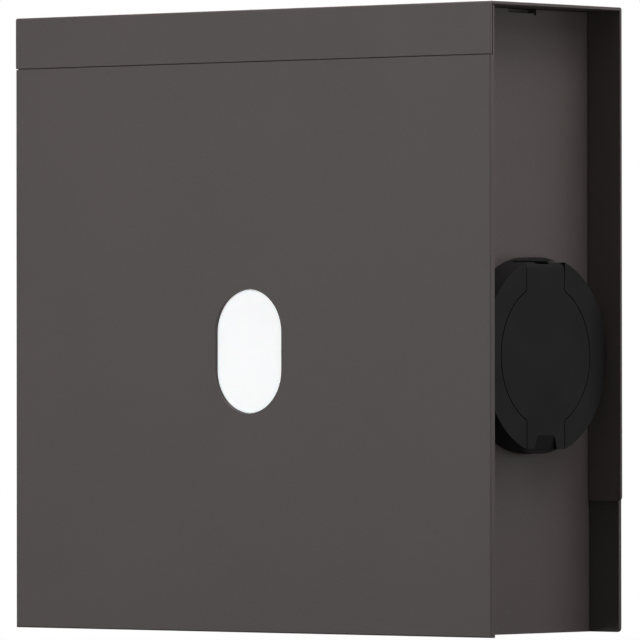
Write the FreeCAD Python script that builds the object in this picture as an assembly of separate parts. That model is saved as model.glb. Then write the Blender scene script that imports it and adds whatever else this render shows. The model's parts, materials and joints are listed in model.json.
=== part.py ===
"""Wall-mounted charging unit for a vehicle's battery, as separate named pieces.

Millimetres. The origin is the centre of the wall plate's back face, +X points to the outlet's side,
-Y out of the wall towards the user, +Z up. Each function makes one sub-part, and the table at the
end writes each one to its own STEP file.
"""
import FreeCAD, Part
import math
import os

# Overall size
WIDTH = 300.0
HEIGHT = 300.0
DEPTH = 103.0
SIDE = WIDTH / 2
TOP = HEIGHT / 2
BOTTOM = -HEIGHT / 2
FRONT = -DEPTH
GAP = 0.3  # clearance around everything that moves
BITE = 1.0  # how far a cutting tool runs past the face it cuts

# Sheet metal
SHEET = 1.5
BEND = 1.2
COVER_T = 3.0
PLATE_T = 2.0
PLATE_SIDE = 147.5
PLATE_TOP = 149.0  # high enough to close the view under the hood's rear edge

# Chassis tub
OVERHANG = 20.0
TUB_SIDE = SIDE - OVERHANG
TUB_TOP = TOP - SHEET - GAP
TUB_BOTTOM = BOTTOM + 0.5
TUB_FRONT = -98.0
TUB_BACK = -PLATE_T
FLANGE = 18.0
FLOOR = -122.5  # underside of the floor above the cable recess
NOTCH_Y = (-64.4, -43.1)
NOTCH_DEEP = 1.9
NOTCH_IN = 5.0
SLIT_DEEP = 2.7

# Cover and hood
COVER_BACK = FRONT + COVER_T
COVER_TOP = 148.0
LIP_BOTTOM = TOP - 25.0
SEAM = 0.4
REBATE = SHEET + GAP
WING_BOTTOM = -86.7
EDGE_R = 0.8
TAB_X = (-90.0, 90.0)
TAB_Y = -60.0
TAB_W = 20.0
TAB_DEEP = 12.0

# Status window
WINDOW_Z = -14.6
WINDOW_W = 42.0
WINDOW_H = 60.0
WINDOW_RECESS = 1.6

# Wall fixings and the screws that join tub and plate, as (x, z) places
FIX_X = 118.0
FIX_R = 3.25
FIX_ACCESS_R = 8.0
JOIN_R = 2.5
FIXINGS = [(x, z) for x in (-FIX_X, FIX_X) for z in (-105.0, 105.0)]
JOINS = [(x, z) for x in (-FIX_X, FIX_X) for z in (-60.0, 60.0)]

# Cover fixings
COVER_SCREW_X = (-105.0, -35.0, 35.0, 105.0)
COVER_SCREW_Z = 142.0
COVER_SCREW_R = 1.5
COVER_HEAD_R = 2.7
NUT_R = 2.8
HOOK_X = (-80.0, 80.0)
HOOK_W = 20.0

# Outlet on the right side panel
OUT_Y = -53.0
OUT_Z = -17.0
RING_R = 46.8
RING_FACE = TUB_SIDE + 13.4
RING_BORE = 31.5
FLAT = 44.5
RIM_IN = 45.0  # inside of the ring's rim above the hinge, which stops the open lid
LID_R = 33.7
LID_BACK_R = 32.9
LID_T = 3.8
LID_BACK = RING_FACE - LID_T
SEAT = LID_BACK - 1.5
LID_GAP = 0.5
SEAT_R = LID_R + LID_GAP
STRAP = 14.2
KNUCKLE_R = 4.3
HINGE_X = RING_FACE - KNUCKLE_R
HINGE_Z = OUT_Z + FLAT - KNUCKLE_R
PIN_R = 1.5
SPRING_SLOT = 5.0
SCOOP_TOP = 6.4  # half widths of the thumb scoop's upper and lower end
SCOOP_END = 8.6
SCOOP_H = 6.7
SCOOP_DEEP = 1.8
SOCKET_BARREL_R = 31.2
SOCKET_SCREWS = [(y, z) for y in (-30.0, 30.0) for z in (-30.0, 30.0)]
SOCKET_SCREW_R = 2.5
SOCKET_FLANGE = 37.5
FLANGE_OUT = TUB_SIDE - SHEET - 1.5
FLANGE_IN = FLANGE_OUT - 4.0
RECESS_R = 28.5
RECESS_FLAT = 23.5
RECESS_FLOOR = 104.0
BASE_R = 29.5
INSERT_R = 22.0
INSERT_FLAT = 17.5
INSERT_FACE = 131.0
SOCKET_FRONT = 137.0
SOCKET_REAR = 96.0
LOCK_X = 114.0
LOCK_R = 2.4
LOCK_SEAT = 33.0

# Contacts: offsets along Y and Z from the outlet's axis
POWER_CONTACTS = {
    "l1": (-17.0, 0.0),
    "n": (17.0, 0.0),
    "pe": (0.0, 0.0),
    "l2": (8.5, -14.7),
    "l3": (-8.5, -14.7),
}
SIGNAL_CONTACTS = ((-9.3, 11.6), (9.3, 11.6))
POWER_R = 4.0
POWER_MOUTH_R = 3.3
POWER_BORE_R = 3.0
SIGNAL_R = 2.6
SIGNAL_MOUTH_R = 1.9
SIGNAL_BORE_R = 1.6
CARRIER_SPLITS = (-14.7, 0.0)  # heights of the planes where the contact carrier comes apart
TAIL_X = 86.0

# Main board
BOARD_X = (-106.0, 42.0)
BOARD_Z = (-92.0, 122.0)
BOARD_T = 1.6
STANDOFF = 14.0
BOARD_BACK = TUB_BACK - SHEET - STANDOFF
BOARD_FACE = BOARD_BACK - BOARD_T
BOARD_HOLES = [(x, z) for x in (-101.0, 37.0) for z in (-55.0, 52.0, 117.0)]
BOARD_HOLE_R = 1.6

# Wiring between the outlet terminal and the socket
WIRE_R = 1.8
WIRE_START = 34.0
WIRE_Y = -44.0
WIRE_LEVELS = {"l1": 1.0, "pe": -8.0, "n": -17.0, "l3": -26.0, "l2": -35.0}
WIRE_LEAD = 12.0
WIRE_TAIL = 4.0

# Components on the board: ranges along X and Z, and how far they stand off its face
SUPPLY_BRICK = ((-98.0, -46.0), (25.0, 53.0), 24.0)
SENSOR = ((-20.0, 12.0), (-50.0, -18.0), 22.0)
SHIELD = ((-22.0, 18.0), (76.0, 106.0), 4.0)
TERMINAL = ((-97.0, -22.0), (-90.0, -60.0), 28.0)
TERMINAL_POLES = [-89.5 + 15.0 * pole for pole in range(5)]
TERMINAL_SCREW_Z = -70.0
RELAYS = [(x, z) for z in (-50.0, -20.0) for x in (-96.0, -61.0)]
CAPACITORS = [(x, 39.0) for x in (-30.0, -12.0, 6.0)]
CAPACITOR_R = 8.0
CAPACITOR_H = 26.0
VARISTOR_X = (-90.0, -78.0, -66.0)
VARISTOR_Z = 78.0
PORT_X = (-8.0, 12.0)
DIAL = (26.0, 66.0)
DIAL_R = 4.5

# Earth stud, as (x, z)
EARTH = (85.0, -100.0)
EARTH_R = 3.0

# Cable recess
GLAND = (-60.0, -50.0)
PLUG = (20.0, -50.0)
VENT = (70.0, -50.0)


def block(x, y, z):
    """A box between the low and high value of each pair."""
    return Part.makeBox(x[1] - x[0], y[1] - y[0], z[1] - z[0], FreeCAD.Vector(x[0], y[0], z[0]))


def rod(start, direction, length, radius):
    return Part.makeCylinder(radius, length, FreeCAD.Vector(*start), FreeCAD.Vector(*direction))


def cone(start, direction, length, first, last):
    return Part.makeCone(first, last, length, FreeCAD.Vector(*start), FreeCAD.Vector(*direction))


def fused(solids):
    """One solid from several that touch or overlap, with shared faces merged."""
    return solids[0].multiFuse(solids[1:]).removeSplitter()


def group(solids):
    return Part.makeCompound(solids)


def rounded(solid, axis, radius):
    """The solid with every straight edge along one axis rounded."""
    along = FreeCAD.Vector(*axis)
    straight = [e for e in solid.Edges if e.Curve.TypeId == "Part::GeomLine"]
    edges = [e for e in straight if e.tangentAt(e.FirstParameter).cross(along).Length < 1e-6]
    return solid.makeFillet(radius, edges)


def edges_at(solid, x=None, y=None, z=None):
    """The edges that lie wholly at the given coordinates."""
    wanted = [(i, v) for i, v in enumerate((x, y, z)) if v is not None]

    def lies_there(edge):
        return all(abs(v.Point[i] - at) < 1e-4 for v in edge.Vertexes for i, at in wanted)

    return [e for e in solid.Edges if lies_there(e)]


def pill(width, height, y, z=WINDOW_Z):
    """An upright stadium prism between two depths, centred on the window's height."""
    half = (height - width) / 2
    radius = width / 2
    thick = y[1] - y[0]
    ends = [rod((0, y[0], z + s * half), (0, 1, 0), thick, radius) for s in (-1, 1)]
    return fused([block((-radius, radius), y, (z - half, z + half))] + ends)


def hexagon(centre, across, z):
    """A hexagonal prism along Z, given its width across flats."""
    radius = across / math.sqrt(3)
    turns = [math.radians(60 * corner) for corner in range(7)]
    spots = [(centre[0] + radius * math.cos(a), centre[1] + radius * math.sin(a), z[0]) for a in turns]
    outline = Part.makePolygon([FreeCAD.Vector(*spot) for spot in spots])
    return Part.Face(outline).extrude(FreeCAD.Vector(0, 0, z[1] - z[0]))


def laid_hexagon(start, across, length):
    """A hexagonal prism along Y from a point."""
    prism = hexagon((0, 0), across, (0, length))
    prism.rotate(FreeCAD.Vector(0, 0, 0), FreeCAD.Vector(1, 0, 0), -90)
    prism.translate(FreeCAD.Vector(*start))
    return prism


def outlet_rod(x, radius, dy=0.0, dz=0.0):
    """A cylinder along X between two depths, offset from the outlet's axis."""
    return rod((x[0], OUT_Y + dy, OUT_Z + dz), (1, 0, 0), x[1] - x[0], radius)


def outlet_block(x, y, z):
    """A box whose Y and Z are counted from the outlet's axis."""
    return block(x, (OUT_Y + y[0], OUT_Y + y[1]), (OUT_Z + z[0], OUT_Z + z[1]))


def flat_topped(x, radius, flat):
    """A cylinder on the outlet's axis with a flat along its top."""
    above = outlet_block((x[0] - BITE, x[1] + BITE), (-radius, radius), (flat, radius + BITE))
    return outlet_rod(x, radius).cut(above)


# Housing


def wall_plate():
    plate = block((-PLATE_SIDE, PLATE_SIDE), (-PLATE_T, 0), (TUB_BOTTOM, PLATE_TOP))
    plate = rounded(plate, (0, 1, 0), 2.0)
    front = -PLATE_T - BITE
    through = PLATE_T + 2 * BITE
    holes = [rod((x, front, z), (0, 1, 0), through, FIX_R) for x, z in FIXINGS]
    holes += [rod((x, front, z), (0, 1, 0), through, JOIN_R) for x, z in JOINS]
    return plate.cut(holes)


def chassis_tub():
    tub = block((-TUB_SIDE, TUB_SIDE), (TUB_FRONT, TUB_BACK), (TUB_BOTTOM, TUB_TOP))
    tub = rounded(tub, (0, 0, 1), BEND)
    wall = TUB_SIDE - SHEET
    inside = (TUB_FRONT + SHEET, TUB_BACK - SHEET)
    tub = tub.cut(block((-wall, wall), inside, (FLOOR + SHEET, TUB_TOP - SHEET)))
    tub = tub.cut(block((-wall, wall), (TUB_FRONT - BITE, inside[1]), (TUB_BOTTOM - BITE, FLOOR)))
    mouth = TUB_SIDE - FLANGE
    mouth_z = (FLOOR + FLANGE, TUB_TOP - FLANGE)
    tub = tub.cut(block((-mouth, mouth), (TUB_FRONT - BITE, inside[0] + BITE), mouth_z))
    return drilled_tub(tub)


def drilled_tub(tub):
    """The tub with its openings, holes, slots and notches."""
    back = TUB_BACK - SHEET - BITE
    through = SHEET + 2 * BITE
    cuts = [outlet_rod((TUB_SIDE - SHEET - BITE, TUB_SIDE + BITE), SOCKET_BARREL_R + 0.8)]
    for y, z in SOCKET_SCREWS:
        cuts.append(outlet_rod((TUB_SIDE - SHEET - BITE, TUB_SIDE + BITE), SOCKET_SCREW_R + 0.2, y, z))
    cuts += [rod((x, back, z), (0, 1, 0), through, FIX_ACCESS_R) for x, z in FIXINGS]
    cuts += [rod((x, back, z), (0, 1, 0), through, JOIN_R) for x, z in JOINS]
    for (x, y), radius in ((GLAND, 12.6), (PLUG, 10.1), (VENT, 6.1)):
        cuts.append(rod((x, y, FLOOR - BITE), (0, 0, 1), through, radius))
    for x in TAB_X:
        slot = (x - TAB_W / 2 - 1, x + TAB_W / 2 + 1)
        depth = (TAB_Y - 0.5, TAB_Y + SHEET + 0.5)
        cuts.append(block(slot, depth, (TUB_TOP - SHEET - BITE, TUB_TOP + BITE)))
    for x in COVER_SCREW_X:
        cuts.append(rod((x, TUB_FRONT - BITE, COVER_SCREW_Z), (0, 1, 0), through, NUT_R + 0.05))
    for x in HOOK_X:
        slot = (x - HOOK_W / 2 - 1, x + HOOK_W / 2 + 1)
        cuts.append(block(slot, (TUB_FRONT - BITE, TUB_FRONT + SHEET + BITE), (-118.5, -110.5)))
    slit = (NOTCH_Y[1] - SHEET, NOTCH_Y[1])
    for x in ((-TUB_SIDE - BITE, -TUB_SIDE + NOTCH_IN), (TUB_SIDE - NOTCH_IN, TUB_SIDE + BITE)):
        cuts.append(block(x, NOTCH_Y, (TUB_TOP - NOTCH_DEEP, TUB_TOP + BITE)))
        cuts.append(block(x, slit, (TUB_TOP - SLIT_DEEP, TUB_TOP + BITE)))
    return tub.cut(cuts)


def chassis_screws():
    """Screws from inside the tub into threads of the wall plate."""
    inside = TUB_BACK - SHEET
    screws = []
    for x, z in JOINS:
        head = rod((x, inside - 2.5, z), (0, 1, 0), 2.5, 4.5)
        socket = laid_hexagon((x, inside - 2.6, z), 3.0, 1.6)
        shank = rod((x, inside, z), (0, 1, 0), SHEET + PLATE_T - 0.2, JOIN_R)
        screws.append(fused([head.cut(socket), shank]))
    return group(screws)


def fixing_plugs():
    """Rubber plugs that close the access holes over the wall fixings."""
    inside = TUB_BACK - SHEET
    plugs = []
    for x, z in FIXINGS:
        cap = rod((x, inside - 2.0, z), (0, 1, 0), 2.0, FIX_ACCESS_R + 1.5)
        stem = rod((x, inside, z), (0, 1, 0), SHEET, FIX_ACCESS_R)
        plugs.append(fused([cap, stem]))
    return group(plugs)


def front_cover():
    plate = block((-SIDE, SIDE), (FRONT, COVER_BACK), (BOTTOM, COVER_TOP))
    step = LIP_BOTTOM - SEAM
    across = (-SIDE - BITE, SIDE + BITE)
    plate = plate.cut(block(across, (FRONT - BITE, FRONT + REBATE), (step, COVER_TOP + BITE)))
    rim = [e for e in edges_at(plate, y=FRONT) if not all(abs(v.Z - step) < 1e-4 for v in e.Vertexes)]
    plate = plate.makeFillet(EDGE_R, rim)
    plate = plate.cut(pill(WINDOW_W, WINDOW_H, (FRONT - BITE, COVER_BACK + BITE)))
    for x in COVER_SCREW_X:
        start = (x, FRONT + REBATE, COVER_SCREW_Z)
        plate = plate.cut(cone(start, (0, 1, 0), COVER_T - REBATE, COVER_HEAD_R, COVER_SCREW_R))
    return plate


def cover_gasket():
    outer = block((-129, 129), (COVER_BACK, TUB_FRONT), (-109.5, 137))
    inner = block((-124, 124), (COVER_BACK - BITE, TUB_FRONT + BITE), (-104.7, 132))
    return rounded(outer, (0, 1, 0), 4.0).cut(inner)


def cover_hooks():
    """Tongues on the cover's back that hang behind the tub's lower flange."""
    behind = TUB_FRONT + SHEET + GAP
    hooks = []
    for x in HOOK_X:
        span = (x - HOOK_W / 2, x + HOOK_W / 2)
        foot = block(span, (COVER_BACK, COVER_BACK + SHEET), (-119, -110.9))
        tongue = block(span, (COVER_BACK, behind + SHEET), (-112.4, -110.9))
        drop = block(span, (behind, behind + SHEET), (-118, -110.9))
        hooks.append(fused([foot, tongue, drop]))
    return group(hooks)


def cover_screws():
    """Countersunk screws that the hood's lip hides."""
    screws = []
    for x in COVER_SCREW_X:
        start = (x, FRONT + REBATE, COVER_SCREW_Z)
        head = cone(start, (0, 1, 0), COVER_T - REBATE, COVER_HEAD_R, COVER_SCREW_R)
        shank = rod((x, COVER_BACK, COVER_SCREW_Z), (0, 1, 0), 11.0, COVER_SCREW_R)
        depth = (start[1] - BITE, start[1] + 0.7)
        slot = block((x - 0.4, x + 0.4), depth, (start[2] - 1.6, start[2] + 1.6))
        screws.append(fused([head, shank]).cut(slot))
    return group(screws)


def cover_nuts():
    """Rivet nuts in the tub's upper flange."""
    nuts = []
    for x in COVER_SCREW_X:
        collar = rod((x, TUB_FRONT - 0.8, COVER_SCREW_Z), (0, 1, 0), 0.8, 4.5)
        sleeve = rod((x, TUB_FRONT, COVER_SCREW_Z), (0, 1, 0), 10.0, NUT_R)
        thread = rod((x, TUB_FRONT - BITE, COVER_SCREW_Z), (0, 1, 0), 14.0, COVER_SCREW_R)
        nuts.append(fused([collar, sleeve]).cut(thread))
    return group(nuts)


def hood():
    """Top plate, lip over the cover's rebate and a wing down each side of the tub."""
    rear = TUB_BACK - GAP
    body = block((-SIDE, SIDE), (FRONT, rear), (TOP - SHEET, TOP))
    lip = block((-SIDE, SIDE), (FRONT, FRONT + SHEET), (LIP_BOTTOM, TOP))
    wings = [
        rounded_below(block(x, (rear - SHEET, rear), (WING_BOTTOM, TOP)))
        for x in ((-SIDE, -TUB_SIDE - GAP), (TUB_SIDE + GAP, SIDE))
    ]
    shell = fused([body, lip] + wings)
    bends = edges_at(shell, y=FRONT, z=TOP) + edges_at(shell, y=rear, z=TOP)
    return shell.makeFillet(BEND, bends)


def rounded_below(wing):
    """A wing with both corners of its lower end rounded."""
    corners = [e for e in edges_at(wing, z=WING_BOTTOM) if abs(e.tangentAt(e.FirstParameter).y) > 0.9]
    return wing.makeFillet(2.2, corners)


def hood_tabs():
    """Locating tabs welded under the top plate, each with a tapered end."""
    tabs = []
    for x in TAB_X:
        under = TOP - SHEET
        tab = block((x - TAB_W / 2, x + TAB_W / 2), (TAB_Y, TAB_Y + SHEET), (under - TAB_DEEP, under))
        tips = [e for e in edges_at(tab, z=under - TAB_DEEP) if abs(e.tangentAt(e.FirstParameter).y) > 0.9]
        tabs.append(tab.makeChamfer(4.0, tips))
    return group(tabs)


# Status light


def status_window():
    nose = pill(WINDOW_W - 0.6, WINDOW_H - 0.6, (FRONT + WINDOW_RECESS, COVER_BACK))
    flange = pill(WINDOW_W + 10, WINDOW_H + 10, (COVER_BACK, COVER_BACK + SHEET))
    return fused([nose, flange])


def light_frame():
    depth = (COVER_BACK + SHEET, -86.0)
    outer = pill(WINDOW_W + 16, WINDOW_H + 16, depth)
    return outer.cut(pill(WINDOW_W + 8, WINDOW_H + 8, (depth[0] - BITE, depth[1] + BITE)))


def led_board():
    return pill(WINDOW_W + 16, WINDOW_H + 16, (-86.0, -84.4))


def leds():
    return group(
        [
            block((x - 2.5, x + 2.5), (-87.6, -86.0), (WINDOW_Z + z - 2.5, WINDOW_Z + z + 2.5))
            for x in (-9, 9)
            for z in (-24, -12, 0, 12, 24)
        ]
    )


# Outlet


def outlet_ring():
    """Round drum with a seat for the lid, and pockets for the lid's two straps."""
    ring = outlet_rod((TUB_SIDE, RING_FACE), RING_R)
    pocket_floor = LID_BACK - 0.4
    for side in (-1, 1):
        beyond = sorted((side * FLAT, side * (RING_R + BITE)))
        ring = ring.cut(outlet_block((pocket_floor, RING_FACE + BITE), (-RING_R, RING_R), beyond))
    half = STRAP + LID_GAP
    pocket = (-half, half)
    heel = KNUCKLE_R + GAP
    hinge_dz = HINGE_Z - OUT_Z
    cuts = [
        outlet_rod((TUB_SIDE - BITE, RING_FACE + BITE), RING_BORE),
        outlet_rod((SEAT, RING_FACE + BITE), SEAT_R),
        outlet_block((pocket_floor, RING_FACE + BITE), pocket, (-RING_R, RING_R)),
        outlet_block((HINGE_X - heel, RING_FACE), pocket, (hinge_dz, RIM_IN)),
        rod((HINGE_X, OUT_Y - half, HINGE_Z), (0, 1, 0), 2 * half, heel),
        rod((HINGE_X, OUT_Y - 19, HINGE_Z), (0, 1, 0), 38, PIN_R),
    ]
    for y, z in SOCKET_SCREWS:
        cuts.append(outlet_rod((TUB_SIDE - BITE, TUB_SIDE + 8.5), SOCKET_SCREW_R, y, z))
    return ring.cut(cuts)


def outlet_lid():
    """Disc with a strap to the hinge above and a strap to the grip below."""
    disc = cone((LID_BACK, OUT_Y, OUT_Z), (1, 0, 0), LID_T, LID_BACK_R, LID_R)
    hinge_dz = HINGE_Z - OUT_Z
    strap = outlet_block((LID_BACK, RING_FACE), (-STRAP, STRAP), (-FLAT, hinge_dz))
    knuckle = rod((HINGE_X, OUT_Y - STRAP, HINGE_Z), (0, 1, 0), 2 * STRAP, KNUCKLE_R)
    lid = fused([disc, strap, knuckle])
    eye = rod((HINGE_X, OUT_Y - STRAP - BITE, HINGE_Z), (0, 1, 0), 2 * (STRAP + BITE), PIN_R + 0.05)
    lid = lid.cut(eye)
    slot = (-SPRING_SLOT, SPRING_SLOT)
    lid = lid.cut(outlet_block((HINGE_X - 6, RING_FACE - 1.6), slot, (hinge_dz - 4.3, hinge_dz + 6)))
    return lid.cut(thumb_scoop())


def thumb_scoop():
    """A ramp cut into the lower strap's end, wider and deeper towards its tip, for a thumb."""
    height = SCOOP_H + BITE
    low = OUT_Z - FLAT - BITE
    grow = BITE / SCOOP_H
    end = SCOOP_END + grow * (SCOOP_END - SCOOP_TOP)
    tip = wedge_section(low, end, SCOOP_DEEP * (1 + grow))
    root = wedge_section(low + height, SCOOP_TOP, 0.01)
    return Part.makeLoft([tip, root], True, True)


def wedge_section(z, half_width, deep):
    """A level rectangle that reaches into the lid's face by this depth."""
    x = (RING_FACE - deep, RING_FACE + BITE)
    y = (OUT_Y - half_width, OUT_Y + half_width)
    corners = [(x[0], y[0]), (x[1], y[0]), (x[1], y[1]), (x[0], y[1]), (x[0], y[0])]
    return Part.makePolygon([FreeCAD.Vector(*corner, z) for corner in corners])


def lid_seal():
    ring = outlet_rod((LID_BACK - 1.2, LID_BACK), 33.0)
    return ring.cut(outlet_rod((LID_BACK - 1.2 - BITE, LID_BACK + BITE), RING_BORE + 0.2))


def lid_hinge_pin():
    return rod((HINGE_X, OUT_Y - 19, HINGE_Z), (0, 1, 0), 38, PIN_R)


def lid_spring():
    """Coil of the torsion spring round the hinge pin."""
    wire = 0.3
    coil_r = 2.0
    pitch = 0.9
    turns = 8
    half = turns * pitch / 2
    path = Part.makeHelix(pitch, turns * pitch, coil_r)
    start = path.Vertexes[0].Point
    profile = Part.Wire(Part.makeCircle(wire, start, FreeCAD.Vector(0, 1, pitch / (2 * math.pi * coil_r))))
    spring = Part.Wire(path.Edges).makePipeShell([profile], True, True)
    spring.rotate(FreeCAD.Vector(0, 0, 0), FreeCAD.Vector(1, 0, 0), -90)
    spring.translate(FreeCAD.Vector(HINGE_X, OUT_Y - half, HINGE_Z))
    return spring


def socket_shell():
    """Flange behind the side panel with a barrel that reaches out through it."""
    span = (-SOCKET_FLANGE, SOCKET_FLANGE)
    flange = outlet_block((FLANGE_IN, FLANGE_OUT), span, span)
    flange = rounded(flange, (1, 0, 0), 8.0)
    barrel = outlet_rod((SOCKET_REAR, SOCKET_FRONT), SOCKET_BARREL_R)
    boss = outlet_block((LOCK_X - 12, LOCK_X + 8), (-12, 12), (26, LOCK_SEAT))
    shell = fused([flange, barrel, boss])
    cuts = [
        flat_topped((RECESS_FLOOR, SOCKET_FRONT + BITE), RECESS_R, RECESS_FLAT),
        outlet_rod((SOCKET_REAR - BITE, RECESS_FLOOR), BASE_R),
    ]
    for y, z in SOCKET_SCREWS:
        cuts.append(outlet_rod((FLANGE_IN - BITE, FLANGE_OUT + BITE), SOCKET_SCREW_R + 0.2, y, z))
    cuts.append(rod((LOCK_X, OUT_Y, OUT_Z + 20), (0, 0, 1), 20, LOCK_R + 0.08))
    return shell.cut(cuts)


def socket_base():
    """Disc that closes the socket's rear and carries the contacts through it."""
    disc = outlet_rod((SOCKET_REAR, RECESS_FLOOR), BASE_R)
    through = (SOCKET_REAR - BITE, RECESS_FLOOR + BITE)
    cuts = [outlet_rod(through, POWER_R, y, z) for y, z in POWER_CONTACTS.values()]
    cuts += [outlet_rod(through, SIGNAL_R, y, z) for y, z in SIGNAL_CONTACTS]
    return disc.cut(cuts)


def contact_carrier(layer):
    """One of the three stacked pieces of the island that clamps the contacts in the socket's recess."""
    low, high = ((-INSERT_R, CARRIER_SPLITS[0]), CARRIER_SPLITS, (CARRIER_SPLITS[1], INSERT_R))[layer]
    across = (-INSERT_R, INSERT_R)
    island = flat_topped((RECESS_FLOOR, INSERT_FACE), INSERT_R, INSERT_FLAT)
    island = island.common(outlet_block((RECESS_FLOOR, INSERT_FACE), across, (low, high)))
    behind = (RECESS_FLOOR - BITE, INSERT_FACE - 1)
    mouth = (RECESS_FLOOR, INSERT_FACE + BITE)
    cuts = []
    for y, z in POWER_CONTACTS.values():
        cuts += [outlet_rod(behind, POWER_R, y, z), outlet_rod(mouth, POWER_MOUTH_R, y, z)]
    for y, z in SIGNAL_CONTACTS:
        cuts += [outlet_rod(behind, SIGNAL_R, y, z), outlet_rod(mouth, SIGNAL_MOUTH_R, y, z)]
    return island.cut(cuts)


def contact_sleeves():
    """Sleeves that the plug's pins enter, each with a thinner tail for its wire."""
    tube = (94.0, INSERT_FACE - 1)
    bore = (107.0, INSERT_FACE)
    sleeves = []
    for y, z in POWER_CONTACTS.values():
        sleeve = outlet_rod(tube, POWER_R, y, z).cut(outlet_rod(bore, POWER_BORE_R, y, z))
        sleeves.append(fused([sleeve, outlet_rod((TAIL_X, tube[0]), 2.8, y, z)]))
    for y, z in SIGNAL_CONTACTS:
        sleeve = outlet_rod(tube, SIGNAL_R, y, z).cut(outlet_rod(bore, SIGNAL_BORE_R, y, z))
        sleeves.append(fused([sleeve, outlet_rod((90, tube[0]), 1.8, y, z)]))
    return group(sleeves)


def socket_gasket():
    span = (-SOCKET_FLANGE, SOCKET_FLANGE)
    sheet = rounded(outlet_block((FLANGE_OUT, TUB_SIDE - SHEET), span, span), (1, 0, 0), 8.0)
    cuts = [outlet_rod((FLANGE_OUT - BITE, TUB_SIDE), SOCKET_BARREL_R + 0.8)]
    for y, z in SOCKET_SCREWS:
        cuts.append(outlet_rod((FLANGE_OUT - BITE, TUB_SIDE), SOCKET_SCREW_R + 0.2, y, z))
    return sheet.cut(cuts)


def socket_screws():
    """Screws from inside through flange, gasket and side panel into the ring."""
    screws = []
    for y, z in SOCKET_SCREWS:
        head = outlet_rod((FLANGE_IN - 3, FLANGE_IN), 4.5, y, z)
        shank = outlet_rod((FLANGE_IN, TUB_SIDE + 8.5), SOCKET_SCREW_R, y, z)
        slot = outlet_block((FLANGE_IN - 4, FLANGE_IN - 1.8), (y - 3, y + 3), (z - 0.6, z + 0.6))
        screws.append(fused([head, shank]).cut(slot))
    return group(screws)


def lock_actuator():
    """Drive on top of the socket that pushes the lock pin into the plug's notch."""
    case = rounded(outlet_block((LOCK_X - 12, LOCK_X + 8), (-20, 20), (LOCK_SEAT, 57)), (0, 0, 1), 2.0)
    return case.cut(rod((LOCK_X, OUT_Y, OUT_Z + LOCK_SEAT - BITE), (0, 0, 1), 20, LOCK_R + 0.08))


def lock_pin():
    pin = rod((LOCK_X, OUT_Y, OUT_Z + 24.5), (0, 0, 1), 26, LOCK_R)
    tip = edges_at(pin, z=OUT_Z + 24.5)
    return pin.makeChamfer(0.6, tip)


# Electronics


def main_board():
    board = rounded(block(BOARD_X, (BOARD_FACE, BOARD_BACK), BOARD_Z), (0, 1, 0), 3.0)
    return board.cut([rod((x, BOARD_FACE - BITE, z), (0, 1, 0), 4, BOARD_HOLE_R) for x, z in BOARD_HOLES])


def board_standoffs():
    posts = []
    for x, z in BOARD_HOLES:
        post = rod((x, BOARD_BACK, z), (0, 1, 0), STANDOFF, 3.5)
        posts.append(post.cut(rod((x, BOARD_BACK - BITE, z), (0, 1, 0), 9, 1.5)))
    return group(posts)


def board_screws():
    screws = []
    for x, z in BOARD_HOLES:
        head = rod((x, BOARD_FACE - 2, z), (0, 1, 0), 2, 2.8)
        shank = rod((x, BOARD_FACE, z), (0, 1, 0), BOARD_T + 6, 1.5)
        slot = block((x - 1.8, x + 1.8), (BOARD_FACE - 3, BOARD_FACE - 1.2), (z - 0.35, z + 0.35))
        screws.append(fused([head, shank]).cut(slot))
    return group(screws)


def on_board(x, z, height):
    """A box that stands on the board's face."""
    return block(x, (BOARD_FACE - height, BOARD_FACE), z)


def relays():
    """Power relays: each a case with a wider base."""
    made = []
    for x, z in RELAYS:
        case = rounded(on_board((x + 1, x + 29), (z + 1, z + 23), 27), (0, 1, 0), 1.0)
        made.append(fused([case, on_board((x, x + 30), (z, z + 24), 5)]))
    return group(made)


def power_supply():
    return rounded(on_board(*SUPPLY_BRICK), (0, 1, 0), 1.5)


def capacitors():
    cans = []
    for x, z in CAPACITORS:
        can = rod((x, BOARD_FACE - CAPACITOR_H, z), (0, 1, 0), CAPACITOR_H, CAPACITOR_R)
        cans.append(can.makeFillet(0.8, edges_at(can, y=BOARD_FACE - CAPACITOR_H)))
    return group(cans)


def varistors():
    """Discs on edge, each on two legs."""
    discs = []
    for x in VARISTOR_X:
        solids = [rod((x, BOARD_FACE - 9.5, VARISTOR_Z), (1, 0, 0), 4.5, 7.0)]
        for z in (-3.75, 3.75):
            solids.append(rod((x + 2.25, BOARD_FACE - 4.5, VARISTOR_Z + z), (0, 1, 0), 4.5, 0.45))
        discs.append(fused(solids))
    return group(discs)


def leakage_sensor():
    return rounded(on_board(*SENSOR), (0, 1, 0), 2.0)


def supply_terminal():
    """Five-pole screw terminal with its entries facing the gland."""
    cuts = []
    for x in TERMINAL_POLES:
        cuts.append(rod((x, BOARD_FACE - 11, TERMINAL[1][0] - BITE), (0, 0, 1), 15, 4.8))
        cuts.append(rod((x, BOARD_FACE - 29, TERMINAL_SCREW_Z), (0, 1, 0), 13, 3.6))
    return on_board(*TERMINAL).cut(cuts)


def terminal_screws():
    screws = []
    top = BOARD_FACE - 23
    for x in TERMINAL_POLES:
        z = TERMINAL_SCREW_Z
        screw = rod((x, top, z), (0, 1, 0), 7, 3.3)
        slot = block((x - 2.6, x + 2.6), (top - BITE, top + 1.2), (z - 0.5, z + 0.5))
        screws.append(screw.cut(slot))
    return group(screws)


def outlet_terminal():
    """Terminal for the five wires to the socket, its entries facing them."""
    body = block((20, 42), (-56, BOARD_FACE), (-41, 7))
    bore = WIRE_R + 0.6
    entries = [rod((WIRE_START - BITE, WIRE_Y, z), (1, 0, 0), 10, bore) for z in WIRE_LEVELS.values()]
    return body.cut(entries)


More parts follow.
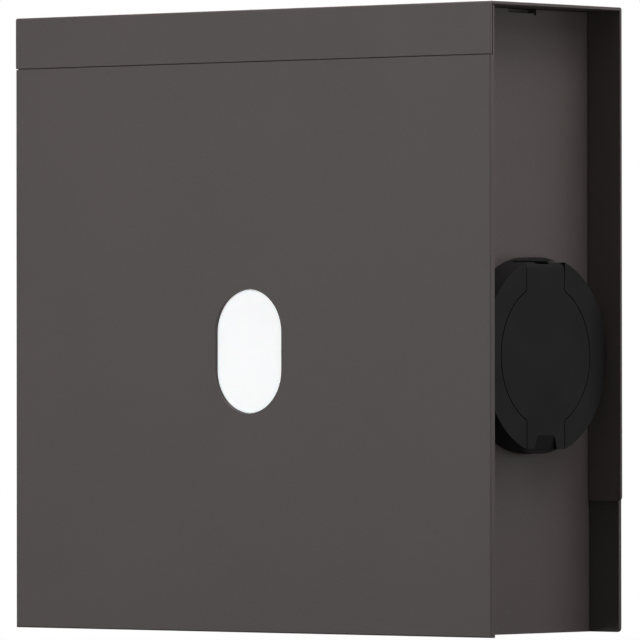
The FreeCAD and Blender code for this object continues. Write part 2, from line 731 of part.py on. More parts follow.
def outlet_wire(name):
    """One wire as a straight lead, two equal arcs that shift it sideways, and a straight tail."""
    dy, dz = POWER_CONTACTS[name]
    start = FreeCAD.Vector(WIRE_START, WIRE_Y, WIRE_LEVELS[name])
    end = FreeCAD.Vector(TAIL_X, OUT_Y + dy, OUT_Z + dz)
    shift = FreeCAD.Vector(0, end.y - start.y, end.z - start.z)
    run = TAIL_X - WIRE_START - WIRE_LEAD - WIRE_TAIL
    along = FreeCAD.Vector(1, 0, 0)
    turn = 2 * math.atan2(shift.Length, run)
    radius = run / (2 * math.sin(turn))
    aside = FreeCAD.Vector(shift).normalize()
    bend_start = start + along * WIRE_LEAD
    bend_end = end - along * WIRE_TAIL
    middle = (bend_start + bend_end) * 0.5

    def arc_point(origin, side, angle):
        forward = along * (side * radius * math.sin(angle))
        return origin + forward + aside * (side * radius * (1 - math.cos(angle)))

    first = Part.Arc(bend_start, arc_point(bend_start, 1, turn / 2), middle)
    second = Part.Arc(middle, arc_point(bend_end, -1, turn / 2), bend_end)
    lead = Part.makeLine(start, bend_start)
    tail = Part.makeLine(bend_end, end)
    path = Part.Wire([lead, first.toShape(), second.toShape(), tail])
    return path.makePipeShell([Part.Wire(Part.makeCircle(WIRE_R, start, along))], True, False)


def radio_shield():
    return rounded(on_board(*SHIELD), (0, 1, 0), 1.0)


def network_ports():
    ports = []
    for x in PORT_X:
        shell = on_board((x, x + 16), (-91, -70), 14)
        mouth = block((x + 2, x + 14), (BOARD_FACE - 12, BOARD_FACE - 3), (-92, -76))
        ports.append(shell.cut(mouth))
    return group(ports)


def dial_base():
    x, z = DIAL
    base = on_board((x - 8, x + 8), (z - 8, z + 8), 5)
    return base.cut(rod((x, BOARD_FACE - 6, z), (0, 1, 0), 4, DIAL_R + 0.08))


def current_dial():
    """Knob that sets the largest charging current, with a pointer slot across its face."""
    x, z = DIAL
    top = BOARD_FACE - 9
    knob = rod((x, top, z), (0, 1, 0), 6.7, DIAL_R)
    slot = block((x - 0.6, x + 0.6), (top - BITE, top + 1.4), (z - 3.6, z + 3.6))
    arrow = block((x - 1.4, x + 1.4), (top - BITE, top + 1.4), (z + 1.6, z + 3.6))
    return knob.cut([slot, arrow])


# Cable recess


def gland_body():
    x, y = GLAND
    collar = hexagon(GLAND, 30, (FLOOR - 5, FLOOR))
    stem = rod((x, y, FLOOR), (0, 0, 1), 12, 12.5)
    neck = rod((x, y, FLOOR - 13.5), (0, 0, 1), 8.5, 11.4)
    return fused([collar, stem, neck]).cut(rod((x, y, FLOOR - 20), (0, 0, 1), 40, 9.0))


def gland_locknut():
    nut = hexagon(GLAND, 32, (FLOOR + SHEET, FLOOR + SHEET + 5))
    return nut.cut(rod((*GLAND, FLOOR), (0, 0, 1), 12, 12.5))


def gland_nut():
    x, y = GLAND
    skirt = hexagon(GLAND, 29, (FLOOR - 15, FLOOR - 5.3))
    dome = rod((x, y, FLOOR - 23), (0, 0, 1), 8, 14.0)
    dome = dome.makeFillet(3.5, edges_at(dome, z=FLOOR - 23))
    nut = fused([skirt, dome])
    bore = rod((x, y, FLOOR - 24), (0, 0, 1), 24, 9.0)
    thread = rod((x, y, FLOOR - 14), (0, 0, 1), 12, 11.4)
    return nut.cut([bore, thread])


def gland_seal():
    x, y = GLAND
    return rod((x, y, FLOOR - 22), (0, 0, 1), 14, 9.0).cut(rod((x, y, FLOOR - 23), (0, 0, 1), 20, 7.0))


def blanking_plug():
    x, y = PLUG
    head = hexagon(PLUG, 24, (FLOOR - 5, FLOOR))
    stem = rod((x, y, FLOOR), (0, 0, 1), 9, 10.0)
    return fused([head, stem])


def vent_plug():
    """Pressure vent: a slotted cap on a hollow stem."""
    x, y = VENT
    cap = rod((x, y, FLOOR - 5), (0, 0, 1), 5, 9.0)
    cap = cap.makeFillet(1.2, edges_at(cap, z=FLOOR - 5))
    stem = rod((x, y, FLOOR), (0, 0, 1), 8, 6.0)
    bore = rod((x, y, FLOOR - 2), (0, 0, 1), 12, 2.5)
    slots = [block((x - 10, x + 10), (y - 1, y + 1), (FLOOR - 2, FLOOR - 1))]
    slots.append(block((x - 1, x + 1), (y - 10, y + 10), (FLOOR - 2, FLOOR - 1)))
    return fused([cap, stem]).cut([bore] + slots)


def earth_stud():
    return rod((EARTH[0], TUB_BACK - SHEET - 20, EARTH[1]), (0, 1, 0), 20, EARTH_R)


def earth_nuts():
    nuts = []
    bore = rod((EARTH[0], TUB_BACK - SHEET - 21, EARTH[1]), (0, 1, 0), 22, EARTH_R)
    for depth in (9.0, 15.0):
        nut = laid_hexagon((EARTH[0], TUB_BACK - SHEET - depth, EARTH[1]), 10, 5)
        nuts.append(nut.cut(bore))
    return group(nuts)


SUBPARTS = {
    "wall_plate": wall_plate,
    "chassis_tub": chassis_tub,
    "chassis_screws": chassis_screws,
    "fixing_plugs": fixing_plugs,
    "front_cover": front_cover,
    "cover_gasket": cover_gasket,
    "cover_hooks": cover_hooks,
    "cover_screws": cover_screws,
    "cover_nuts": cover_nuts,
    "hood": hood,
    "hood_tabs": hood_tabs,
    "status_window": status_window,
    "light_frame": light_frame,
    "led_board": led_board,
    "leds": leds,
    "outlet_ring": outlet_ring,
    "outlet_lid": outlet_lid,
    "lid_seal": lid_seal,
    "lid_hinge_pin": lid_hinge_pin,
    "lid_spring": lid_spring,
    "socket_shell": socket_shell,
    "socket_base": socket_base,
    "contact_sleeves": contact_sleeves,
    "socket_gasket": socket_gasket,
    "socket_screws": socket_screws,
    "lock_actuator": lock_actuator,
    "lock_pin": lock_pin,
    "main_board": main_board,
    "board_standoffs": board_standoffs,
    "board_screws": board_screws,
    "relays": relays,
    "power_supply": power_supply,
    "capacitors": capacitors,
    "varistors": varistors,
    "leakage_sensor": leakage_sensor,
    "supply_terminal": supply_terminal,
    "terminal_screws": terminal_screws,
    "outlet_terminal": outlet_terminal,
    "radio_shield": radio_shield,
    "network_ports": network_ports,
    "dial_base": dial_base,
    "current_dial": current_dial,
    "gland_body": gland_body,
    "gland_locknut": gland_locknut,
    "gland_nut": gland_nut,
    "gland_seal": gland_seal,
    "blanking_plug": blanking_plug,
    "vent_plug": vent_plug,
    "earth_stud": earth_stud,
    "earth_nuts": earth_nuts,
}

CARRIER_LAYERS = ("lower", "middle", "upper")

os.makedirs("parts", exist_ok=True)
for node, make in SUBPARTS.items():
    make().exportStep(f"parts/{node}.step")
for index, layer in enumerate(CARRIER_LAYERS):
    contact_carrier(index).exportStep(f"parts/contact_carrier_{layer}.step")
for name in POWER_CONTACTS:
    outlet_wire(name).exportStep(f"parts/wire_{name}.step")
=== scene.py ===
"""Looks of the wall charging unit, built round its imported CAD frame.

Metres, in the frame's axes: +X towards the outlet, -Y out of the wall, +Z up.
"""
import json
import math

import bmesh
import bpy
from mathutils import Matrix, Vector


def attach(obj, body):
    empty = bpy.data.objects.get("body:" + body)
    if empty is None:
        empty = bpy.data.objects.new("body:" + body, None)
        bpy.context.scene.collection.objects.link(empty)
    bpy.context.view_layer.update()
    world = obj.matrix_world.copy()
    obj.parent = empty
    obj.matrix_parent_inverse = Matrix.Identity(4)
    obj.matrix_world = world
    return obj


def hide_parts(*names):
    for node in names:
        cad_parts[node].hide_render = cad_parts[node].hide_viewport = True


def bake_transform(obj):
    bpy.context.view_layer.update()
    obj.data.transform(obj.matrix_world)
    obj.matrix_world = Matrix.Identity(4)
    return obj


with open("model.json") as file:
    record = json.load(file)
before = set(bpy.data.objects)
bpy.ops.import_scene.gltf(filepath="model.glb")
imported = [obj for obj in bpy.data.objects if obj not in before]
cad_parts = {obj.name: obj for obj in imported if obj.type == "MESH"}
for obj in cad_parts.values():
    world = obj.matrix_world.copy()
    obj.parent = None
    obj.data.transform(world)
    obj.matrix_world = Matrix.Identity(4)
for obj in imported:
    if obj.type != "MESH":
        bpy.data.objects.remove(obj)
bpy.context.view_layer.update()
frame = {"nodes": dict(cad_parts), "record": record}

MM = 0.001
BODY_OF = {n: body for body, nodes in frame["record"]["behaviour"]["bodies"].items() for n in nodes}

# Outlet, in millimetres: the hinge and the lid's disc
OUTLET_Y, OUTLET_Z = -53.0, -17.0
LID_BACK = 139.6
HINGE = Vector((139.1, OUTLET_Y, 23.2))


# Materials


class Finish:
    """A Principled material and the procedural textures that feed it."""

    def __init__(self, name, metallic=0.0, **fixed):
        self.material = bpy.data.materials.new(name)
        self.material.use_nodes = True
        self.tree = self.material.node_tree
        self.shader = self.tree.nodes["Principled BSDF"]
        self.shader.inputs["Metallic"].default_value = metallic
        for key, value in fixed.items():
            self.shader.inputs[key.replace("_", " ")].default_value = value
        self.place = self.node("ShaderNodeTexCoord").outputs["Object"]

    def node(self, kind, **links):
        """Add a node; each input takes a value or the output that feeds it."""
        made = self.tree.nodes.new(kind)
        for key, value in links.items():
            self.feed(made.inputs[key.replace("_", " ")], value)
        return made

    def feed(self, socket, value):
        if isinstance(value, bpy.types.NodeSocket):
            self.tree.links.new(value, socket)
        else:
            socket.default_value = value

    def stretched(self, factors):
        """Object coordinates scaled along each axis, for streaks."""
        return self.node("ShaderNodeMapping", Vector=self.place, Scale=factors).outputs["Vector"]

    def noise(self, size, detail=2.0, rough=0.5, at=None, warp=0.0):
        """Noise whose features are about this many millimetres across, from 0 to 1."""
        scale = 1 / (size * MM)
        made = self.node("ShaderNodeTexNoise", Vector=at or self.place, Scale=scale, Detail=detail)
        made.inputs["Roughness"].default_value = rough
        made.inputs["Distortion"].default_value = warp
        return made.outputs["Fac"]

    def cells(self, size, feature="F1", metric="EUCLIDEAN", smooth=None):
        """Distance to the nearest point of cells this many millimetres across."""
        made = self.node("ShaderNodeTexVoronoi", Vector=self.place, Scale=1 / (size * MM))
        made.feature = feature
        made.distance = metric
        if smooth is not None:
            made.inputs["Smoothness"].default_value = smooth
        return made.outputs["Distance"]

    def bands(self, size, direction):
        """Soft stripes this many millimetres wide, across one axis."""
        made = self.node("ShaderNodeTexWave", Vector=self.place, Scale=math.pi / (10 * size * MM))
        made.bands_direction = direction
        return made.outputs["Fac"]

    def remap(self, value, low, high, to_low, to_high):
        made = self.node("ShaderNodeMapRange", Value=value)
        made.inputs["From Min"].default_value = low
        made.inputs["From Max"].default_value = high
        made.inputs["To Min"].default_value = to_low
        made.inputs["To Max"].default_value = to_high
        return made.outputs["Result"]

    def maths(self, operation, first, second):
        made = self.tree.nodes.new("ShaderNodeMath")
        made.operation = operation
        self.feed(made.inputs[0], first)
        self.feed(made.inputs[1], second)
        return made.outputs["Value"]

    def blend(self, share, first, second):
        """One colour turning into another as share goes from 0 to 1."""
        made = self.tree.nodes.new("ShaderNodeMix")
        made.data_type = "RGBA"  # its colours are inputs 6 and 7 and output 2
        self.feed(made.inputs["Factor"], share)
        for socket, value in ((made.inputs[6], first), (made.inputs[7], second)):
            self.feed(socket, value if isinstance(value, bpy.types.NodeSocket) else (*value, 1.0))
        return made.outputs[2]

    def colour(self, value):
        self.feed(self.shader.inputs["Base Color"], value)

    def roughness(self, value):
        self.feed(self.shader.inputs["Roughness"], value)

    def relief(self, *layers):
        """Bump from (height, depth in millimetres) layers, coarse first."""
        normal = None
        for height, depth in layers:
            made = self.node("ShaderNodeBump", Height=height, Distance=depth * MM)
            if normal is not None:
                self.feed(made.inputs["Normal"], normal)
            normal = made.outputs["Normal"]
        self.feed(self.shader.inputs["Normal"], normal)
        return self


def linear(*rgb):
    """A colour given in 0 to 255 display values, as the shader needs it."""
    return tuple(((v / 255 + 0.055) / 1.055) ** 2.4 if v > 10 else v / 255 / 12.92 for v in rgb)


def shaded(rgb, factor):
    return tuple(min(1.0, v * factor) for v in rgb)


def powder_coat(name, rgb, grain=0.7):
    """Fine-textured powder coat: grains, a faint orange peel, and slow shifts of tone."""
    f = Finish(name)
    grains = f.noise(grain, 3.0, 0.6)
    tone = f.blend(f.remap(f.noise(60), 0.3, 0.7, 0, 1), shaded(rgb, 0.965), shaded(rgb, 1.035))
    speckled = f.blend(f.remap(grains, 0.35, 0.75, 0, 0.35), tone, shaded(rgb, 1.22))
    f.colour(speckled)
    f.roughness(f.remap(grains, 0.3, 0.7, 0.62, 0.5))
    return f.relief((f.noise(5.0, 1.0), 0.035), (grains, 0.05))


def moulded(name, rgb, rough=0.5, grain=0.45, depth=0.03, gloss=0.5):
    """Moulded plastic with a spark-eroded grain and faint flow marks."""
    f = Finish(name, Specular_IOR_Level=gloss)
    pits = f.cells(grain, "SMOOTH_F1", smooth=0.6)
    flowing = f.noise(25.0, 2.0, 0.5, warp=0.6)
    f.colour(f.blend(f.remap(flowing, 0.35, 0.65, 0, 1), shaded(rgb, 0.93), shaded(rgb, 1.08)))
    f.roughness(f.remap(flowing, 0.3, 0.7, rough - 0.05, rough + 0.06))
    return f.relief((f.noise(grain * 8), depth * 0.4), (pits, depth))


def plated(name, rgb, rough=0.3, tint=(1.0, 0.97, 0.9)):
    """Plated or bright metal: fine streaks, with patches of a second tint."""
    f = Finish(name, metallic=1.0)
    patches = f.noise(6.0, 3.0, 0.6)
    lines = f.noise(0.25, 2.0, 0.6, at=f.stretched((1.0, 1.0, 0.12)))
    tinted = tuple(a * b for a, b in zip(rgb, tint))
    f.colour(f.blend(f.remap(patches, 0.35, 0.65, 0, 1), rgb, tinted))
    brushed = f.remap(lines, 0.3, 0.7, rough - 0.08, rough + 0.1)
    f.roughness(f.maths("ADD", brushed, f.remap(patches, 0.3, 0.7, 0, 0.06)))
    return f.relief((lines, 0.006))


def rubber(name, rgb):
    f = Finish(name)
    bloom = f.noise(9.0, 3.0, 0.65)
    f.colour(f.blend(f.remap(bloom, 0.4, 0.75, 0, 0.6), rgb, shaded(rgb, 1.8)))
    f.roughness(f.remap(bloom, 0.3, 0.7, 0.72, 0.88))
    return f.relief((f.noise(0.8, 2.0), 0.02))


def circuit_board(name):
    """Solder mask over copper tracks, with bare tinned pads."""
    f = Finish(name)
    tracks = f.remap(f.cells(5.0, "F1", "CHEBYCHEV"), 0.36, 0.42, 0, 1)
    pads = f.remap(f.cells(3.1), 0.14, 0.17, 1, 0)
    masked = f.blend(tracks, linear(18, 70, 44), linear(28, 96, 58))
    f.colour(f.blend(pads, masked, linear(190, 186, 170)))
    f.roughness(f.remap(f.noise(1.5), 0.3, 0.7, 0.28, 0.4))
    return f.relief((tracks, 0.03), (pads, 0.02))


def opal(name):
    """Lit diffuser: milky sheet, a little brighter in front of each light behind it."""
    f = Finish(name, Subsurface_Weight=0.3, Subsurface_Scale=0.004)
    columns = f.bands(9.0, "X")
    rows = f.bands(6.0, "Z")
    spots = f.maths("MULTIPLY", columns, rows)
    frost = f.noise(0.6, 2.0)
    f.colour(f.blend(frost, linear(236, 237, 238), linear(246, 247, 247)))
    f.roughness(f.remap(frost, 0.3, 0.7, 0.4, 0.52))
    f.feed(f.shader.inputs["Emission Color"], f.blend(spots, (0.93, 0.95, 0.96), (1.0, 1.0, 1.0)))
    f.shader.inputs["Emission Strength"].default_value = 0.4
    return f.relief((frost, 0.01))


def led(name):
    f = Finish(name)
    dome = f.noise(1.2, 2.0)
    f.colour(f.blend(dome, linear(232, 214, 120), linear(246, 236, 180)))
    f.roughness(f.remap(dome, 0.3, 0.7, 0.25, 0.4))
    f.feed(f.shader.inputs["Emission Color"], f.blend(dome, (1.0, 0.95, 0.8), (1.0, 1.0, 0.95)))
    f.shader.inputs["Emission Strength"].default_value = 1.5
    return f.relief((dome, 0.02))


def glossy_coat(name, rgb, rough=0.28):
    """Dipped or shrunk-on coating: smooth, slightly wavy."""
    f = Finish(name)
    waves = f.noise(3.0, 1.0)
    f.colour(f.blend(waves, shaded(rgb, 0.85), shaded(rgb, 1.12)))
    f.roughness(f.remap(waves, 0.3, 0.7, rough - 0.06, rough + 0.08))
    return f.relief((waves, 0.06))


def insulation(name, rgb, stripe=None):
    """Wire insulation, with a lengthwise stripe where the wire has two colours."""
    f = Finish(name)
    scuffs = f.noise(1.5, 3.0, 0.6, at=f.stretched((0.15, 1.0, 1.0)))
    base = f.blend(scuffs, shaded(rgb, 0.85), shaded(rgb, 1.1))
    if stripe:
        base = f.blend(f.remap(f.bands(1.8, "Y"), 0.45, 0.55, 0, 1), base, stripe)
    f.colour(base)
    f.roughness(f.remap(scuffs, 0.3, 0.7, 0.34, 0.5))
    return f.relief((scuffs, 0.015))


# One finish for each material slot of the record
FINISHES = {
    "powder_coat": powder_coat("powder_coat_graphite", linear(78, 70, 69)),
    "plate_coat": powder_coat("plate_coat_graphite", linear(68, 61, 61), grain=0.9),
    "black_plastic": moulded("black_plastic_matt", linear(19, 17, 18), rough=0.55, gloss=0.17),
    "opal": opal("opal_diffuser"),
    "led": led("led_phosphor"),
    "zinc": plated("zinc_plating", (0.56, 0.58, 0.61)),
    "tin": plated("tinned_sheet", (0.68, 0.68, 0.66), rough=0.25, tint=(0.96, 0.97, 1.0)),
    "rubber": rubber("seal_rubber", linear(26, 26, 27)),
    "circuit_board": circuit_board("solder_mask"),
    "relay_plastic": moulded("relay_case", linear(34, 58, 108), rough=0.42, grain=0.8, depth=0.012),
    "capacitor_sleeve": glossy_coat("capacitor_sleeve", linear(38, 40, 52)),
    "varistor_coat": glossy_coat("varistor_epoxy", linear(28, 74, 138), rough=0.2),
    "sensor_plastic": moulded("sensor_case", linear(60, 61, 64), rough=0.5, grain=0.9, depth=0.015),
    "terminal_plastic": moulded("terminal_case", linear(70, 74, 78), rough=0.46, grain=0.7, depth=0.012),
    "dial_plastic": moulded("dial_knob", linear(206, 74, 30), rough=0.4, grain=0.6, depth=0.01),
    "contact_metal": plated("contact_silver", (0.82, 0.8, 0.76), rough=0.22, tint=(1.0, 0.96, 0.88)),
    "gland_plastic": moulded("gland_polyamide", linear(30, 30, 31), rough=0.48, grain=0.8, depth=0.02),
    "wire_brown": insulation("wire_brown", linear(92, 52, 30)),
    "wire_black": insulation("wire_black", linear(26, 26, 28)),
    "wire_grey": insulation("wire_grey", linear(128, 130, 132)),
    "wire_blue": insulation("wire_blue", linear(34, 84, 160)),
    "wire_green": insulation("wire_green_yellow", linear(38, 116, 52), stripe=linear(222, 196, 40)),
}


# Shapes

SHARP = math.radians(30)  # edges that turn by more than this are rounded
CREASE = math.radians(28)  # and on a rounded shape, edges above this stay hard
COPLANAR = math.radians(0.6)
WELD = 2e-6  # metres
EDGE_SEGMENTS, RIB_SEGMENTS = 3, 2
WIRE_SIDES, RING_SIDES = 10, 96


def slot_of(node):
    """The record's material slot of a CAD node."""
    return frame["nodes"][node].data.materials[0].name.split(".")[0]


def as_piece(name, mesh, body, slot, nodes=()):
    """Put a mesh in the scene, on its body, with its finish.

    Weighted normals keep wide faces looking flat beside their rounded edges.
    """
    mesh.materials.clear()
    mesh.materials.append(FINISHES[slot].material)
    piece = bpy.data.objects.new(name, mesh)
    bpy.context.scene.collection.objects.link(piece)
    flat = piece.modifiers.new("flat_faces", "WEIGHTED_NORMAL")
    flat.keep_sharp = True
    flat.weight = 100
    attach(piece, body)
    if nodes:
        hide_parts(*nodes)


def mesh_from(bm, name, smooth=SHARP):
    """Turn an edit mesh into a mesh that is smooth except at edges sharper than this angle."""
    bmesh.ops.recalc_face_normals(bm, faces=bm.faces)
    mesh = bpy.data.meshes.new(name)
    bm.to_mesh(mesh)
    bm.free()
    mesh.shade_smooth()
    mesh.set_sharp_from_angle(angle=smooth)
    return mesh


def soften(bm, edges, width, segments):
    """Round these edges; the width is in millimetres."""
    bmesh.ops.bevel(
        bm,
        geom=edges,
        offset=width * MM,
        segments=segments,
        profile=0.5,
        affect="EDGES",
        clamp_overlap=True,
    )


def rounded_copy(node, width):
    """The CAD node's solid as a clean mesh with every hard edge rounded."""
    bm = bmesh.new()
    bm.from_mesh(frame["nodes"][node].data)
    bmesh.ops.remove_doubles(bm, verts=bm.verts, dist=WELD)
    bmesh.ops.dissolve_limit(bm, angle_limit=COPLANAR, verts=bm.verts, edges=bm.edges)
    hard = [e for e in bm.edges if len(e.link_faces) == 2 and e.calc_face_angle(0.0) > SHARP]
    soften(bm, hard, width, EDGE_SEGMENTS)
    bmesh.ops.remove_doubles(bm, verts=bm.verts, dist=WELD / 2)
    return mesh_from(bm, node + "_finished", CREASE)


# Edge radii in millimetres: folded and cut sheet, moulded parts, and a fine break for all others
EDGE_BREAK = 0.12
EDGE_RADII = {
    "front_cover": 0.22,
    "hood": 0.25,
    "hood_tabs": 0.2,
    "chassis_tub": 0.2,
    "wall_plate": 0.25,
    "status_window": 0.35,
    "outlet_ring": 0.45,
    "outlet_lid": 0.4,
    "socket_shell": 0.4,
    "socket_base": 0.3,
    "contact_carrier_lower": 0.25,
    "contact_carrier_middle": 0.25,
    "contact_carrier_upper": 0.25,
    "lock_actuator": 0.4,
    "gland_body": 0.3,
    "gland_nut": 0.3,
    "gland_locknut": 0.3,
    "blanking_plug": 0.3,
    "vent_plug": 0.3,
    "power_supply": 0.4,
    "leakage_sensor": 0.4,
    "relays": 0.3,
    "supply_terminal": 0.3,
    "outlet_terminal": 0.3,
    "network_ports": 0.25,
    "dial_base": 0.25,
    "current_dial": 0.3,
}
# Round wire has no edges to round: the wires keep their CAD mesh, and the spring is wound below
ROUND_WIRE = [n for n in frame["nodes"] if n == "lid_spring" or n.startswith("wire_")]

for node in frame["nodes"]:
    if node not in ROUND_WIRE:
        shape = rounded_copy(node, EDGE_RADII.get(node, EDGE_BREAK))
        as_piece(node + "_finished", shape, BODY_OF[node], slot_of(node), [node])


def join(bm, first, second):
    """Faces between two loops that have the same number of points."""
    count = len(first)
    for k in range(count):
        bm.faces.new((first[k], first[(k + 1) % count], second[(k + 1) % count], second[k]))


def sweep(points, radius):
    """A closed round wire along these points, all in millimetres."""
    bm = bmesh.new()
    across = None
    rings = []
    for i, p in enumerate(points):
        ahead = points[min(i + 1, len(points) - 1)]
        behind = points[max(i - 1, 0)]
        along = (ahead - behind).normalized()
        across = across - along * across.dot(along) if across else along.orthogonal()
        across.normalize()
        other = along.cross(across)
        ring = []
        for k in range(WIRE_SIDES):
            turn = 2 * math.pi * k / WIRE_SIDES
            spoke = across * math.cos(turn) + other * math.sin(turn)
            ring.append(bm.verts.new((p + spoke * radius) * MM))
        rings.append(ring)
    for first, second in zip(rings, rings[1:]):
        join(bm, first, second)
    bm.faces.new(rings[0])
    bm.faces.new(rings[-1])
    return bm


# The lid's torsion spring; its coil starts at LEG_TURN degrees above +X and ends on the +X side
COIL_R, WIRE_R, COIL_PITCH = 2.0, 0.3, 0.9
LEG_TURN, TURNS = 150, 7
HALF_COIL = (TURNS + LEG_TURN / 360) * COIL_PITCH / 2
COIL_STEP = 15
LEG_STEPS = (0.7, 2.0, 4.0)
LID_LEG_STEPS = (0.7, 2.0, 4.1)
WIRE_CREASE = math.radians(60)


def spring_line():
    """Leg on the ring's pocket, coil round the hinge, leg in the lid's slot."""
    steps = (TURNS * 360 + LEG_TURN) // COIL_STEP
    coil = []
    for i in range(steps + 1):
        turn = math.radians(LEG_TURN - COIL_STEP * i)
        along = -HALF_COIL + 2 * HALF_COIL * i / steps
        coil.append(HINGE + Vector((COIL_R * math.cos(turn), along, COIL_R * math.sin(turn))))
    leg_way = Vector((-math.sin(math.radians(LEG_TURN)), 0, math.cos(math.radians(LEG_TURN))))
    fixed = [coil[0] + leg_way * t for t in reversed(LEG_STEPS)]
    moving = [coil[-1] + Vector((0, 0, -t)) for t in LID_LEG_STEPS]
    return fixed + coil + moving


wound = mesh_from(sweep(spring_line(), WIRE_R), "lid_spring_wound", WIRE_CREASE)
spring = bpy.data.objects.new("lid_spring_wound", wound)
bpy.context.scene.collection.objects.link(spring)
spring.data.materials.append(FINISHES["zinc"].material)
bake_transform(spring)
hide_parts("lid_spring")


def ring_prism(bm, inner, outer, x):
    """A closed ring round the outlet's axis between two depths, in millimetres."""
    loops = []
    for depth, radius in ((x[0], inner), (x[1], inner), (x[1], outer), (x[0], outer)):
        loop = []
        for k in range(RING_SIDES):
            turn = 2 * math.pi * k / RING_SIDES
            y, z = OUTLET_Y + radius * math.cos(turn), OUTLET_Z + radius * math.sin(turn)
            loop.append(bm.verts.new(Vector((depth, y, z)) * MM))
        loops.append(loop)
    for first, second in zip(loops, loops[1:] + loops[:1]):
        join(bm, first, second)


# Stiffening ribs on the lid's back, in millimetres
RIB_T = 1.2
RIB_RINGS = (10.0, 25.0)
RIB_SPOKES = 8
RIB_FOOT, RIB_TOP = LID_BACK + 0.3, LID_BACK - 1.5
RIB_EDGE = 0.2
BOX_FACES = ((0, 1, 2, 3), (7, 6, 5, 4), (0, 4, 5, 1), (1, 5, 6, 2), (2, 6, 7, 3), (3, 7, 4, 0))


def lid_ribs():
    """Two rings and the spokes between them, inside the lid's seal."""
    half = RIB_T / 2
    near, far = RIB_RINGS[0] + half, RIB_RINGS[1] + half
    bm = bmesh.new()
    for radius in RIB_RINGS:
        ring_prism(bm, radius, radius + RIB_T, (RIB_TOP, RIB_FOOT))
    for k in range(RIB_SPOKES):
        turn = Matrix.Rotation(2 * math.pi * k / RIB_SPOKES, 4, "X")
        corners = []
        for x in (RIB_TOP, RIB_FOOT):
            for y, z in ((near, -half), (far, -half), (far, half), (near, half)):
                at = turn @ Vector((0, y, z))
                corners.append(bm.verts.new(Vector((x, OUTLET_Y + at.y, OUTLET_Z + at.z)) * MM))
        for face in BOX_FACES:
            bm.faces.new([corners[i] for i in face])
    hard = [e for e in bm.edges if e.calc_face_angle(0.0) > SHARP]
    soften(bm, hard, RIB_EDGE, RIB_SEGMENTS)
    return bm


as_piece("lid_ribs", mesh_from(lid_ribs(), "lid_ribs"), "lid_assembly", "black_plastic")


# The CAD meshes that aren't rounded get their finish

for node in ROUND_WIRE:
    finish = FINISHES[slot_of(node)].material
    held = frame["nodes"][node].data
    for at in range(len(held.materials)):
        held.materials[at] = finish


# Camera, at the viewing angle of the reference: far off, slightly below the middle

CAMERA_AT = (2.68959, -3.26675, -0.03184)
YAW, TILT, ROLL = (math.radians(angle) for angle in (39.889, 90.4456, -0.0625))
LENS = 484.98
camera_data = bpy.data.cameras.new("camera")
camera_data.lens = LENS
camera_data.sensor_width = 36.0
camera_data.clip_end = 50.0
camera = bpy.data.objects.new("camera", camera_data)
bpy.context.scene.collection.objects.link(camera)
aim = Matrix.Rotation(YAW, 4, "Z") @ Matrix.Rotation(TILT, 4, "X") @ Matrix.Rotation(ROLL, 4, "Z")
camera.matrix_world = Matrix.Translation(CAMERA_AT) @ aim
bpy.context.scene.camera = camera
bpy.context.scene.view_settings.view_transform = "Standard"

# Floor and light

FLOOR_Z = -3.4  # low enough for a camera that looks up at the underside
FLOOR_HALF = 25.0
FLOOR_TONES = ((0.86, 0.86, 0.85), (0.9, 0.9, 0.89))
AMBIENT = 0.018
MIDDLE = Vector((0.0, -0.05, 0.0))
bm = bmesh.new()
bmesh.ops.create_grid(bm, x_segments=8, y_segments=8, size=FLOOR_HALF)
floor_mesh = bpy.data.meshes.new("floor")
bm.to_mesh(floor_mesh)
bm.free()
floor = bpy.data.objects.new("floor", floor_mesh)
floor.location = (0, 0, FLOOR_Z)
bpy.context.scene.collection.objects.link(floor)
pale = Finish("pale_floor")
pale.colour(pale.blend(pale.noise(400), *FLOOR_TONES))
pale.roughness(0.8)
floor_mesh.materials.append(pale.material)
# The floor throws no light back on the object and isn't mirrored in it
floor.visible_diffuse = False
floor.visible_glossy = False


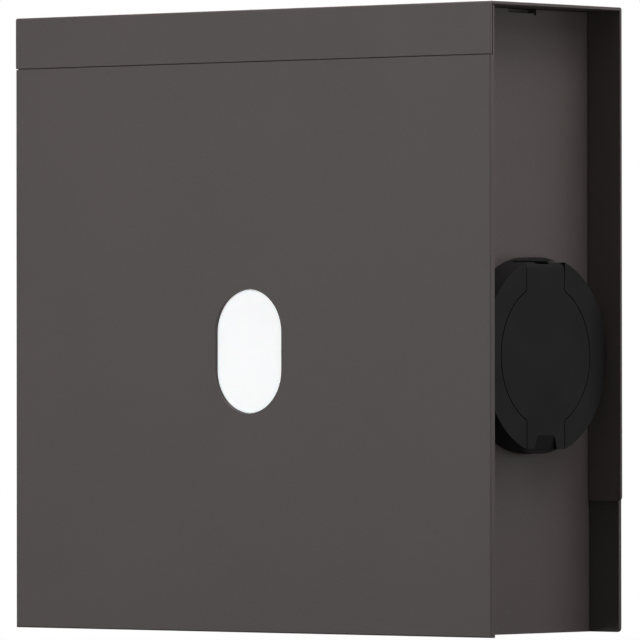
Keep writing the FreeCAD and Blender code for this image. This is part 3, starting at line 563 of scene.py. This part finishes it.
def area_light(name, azimuth, elevation, distance, size, power):
    """A square lamp aimed at the object's middle, placed by its direction as seen from there."""
    a, e = math.radians(azimuth), math.radians(elevation)
    away = Vector((math.sin(a) * math.cos(e), -math.cos(a) * math.cos(e), math.sin(e)))
    data = bpy.data.lights.new(name, "AREA")
    data.shape = "SQUARE"
    data.size = size
    data.energy = power
    lamp = bpy.data.objects.new(name, data)
    lamp.location = MIDDLE + away * distance
    lamp.rotation_euler = away.to_track_quat("Z", "Y").to_euler()
    lamp.visible_camera = False
    bpy.context.scene.collection.objects.link(lamp)


# Azimuth and elevation in degrees, distance and size in metres, and power of each lamp
LAMPS = {
    "front": (-30, 0, 1.6, 0.9, 6.8),
    "front_high": (-15, 20, 1.6, 0.9, 8.3),
    "front_far": (15, 35, 2.5, 1.2, 1.2),
    "corner": (50, 0, 2.5, 1.2, 3.0),
    "side_front": (75, 0, 0.9, 0.5, 0.55),
    "side_level": (90, 0, 0.9, 0.5, 0.75),
    "side_middle": (105, 40, 0.9, 0.5, 1.9),
    "side_high": (105, 60, 0.9, 0.5, 4.1),
    "rim_near": (135, 0, 0.9, 0.5, 0.7),
    "rim_far": (165, 0, 2.5, 1.2, 1.3),
    "back": (215, 25, 2.5, 1.2, 30.0),
    "below": (0, -89, 2.5, 1.2, 6.0),
}
for name, spec in LAMPS.items():
    area_light(name, *spec)

# A soft light from straight above whitens the floor and leaves upright faces as they are
overhead = bpy.data.lights.new("overhead", "SUN")
overhead.energy = 2.6
overhead.angle = math.radians(16)
overhead_lamp = bpy.data.objects.new("overhead", overhead)
overhead_lamp.location = (0, 0, 3)
bpy.context.scene.collection.objects.link(overhead_lamp)

# A white backdrop for the camera, and only a trace of light from it on the object
world = bpy.data.worlds.new("studio")
bpy.context.scene.world = world
world.use_nodes = True
air = world.node_tree
ambient = air.nodes["Background"]
ambient.inputs["Color"].default_value = (1, 1, 1, 1)
ambient.inputs["Strength"].default_value = AMBIENT
backdrop = air.nodes.new("ShaderNodeBackground")
backdrop.inputs["Color"].default_value = (1, 1, 1, 1)
backdrop.inputs["Strength"].default_value = 1.0
seen = air.nodes.new("ShaderNodeLightPath")
either = air.nodes.new("ShaderNodeMixShader")
air.links.new(seen.outputs["Is Camera Ray"], either.inputs[0])
air.links.new(ambient.outputs[0], either.inputs[1])
air.links.new(backdrop.outputs[0], either.inputs[2])
air.links.new(either.outputs[0], air.nodes["World Output"].inputs["Surface"])
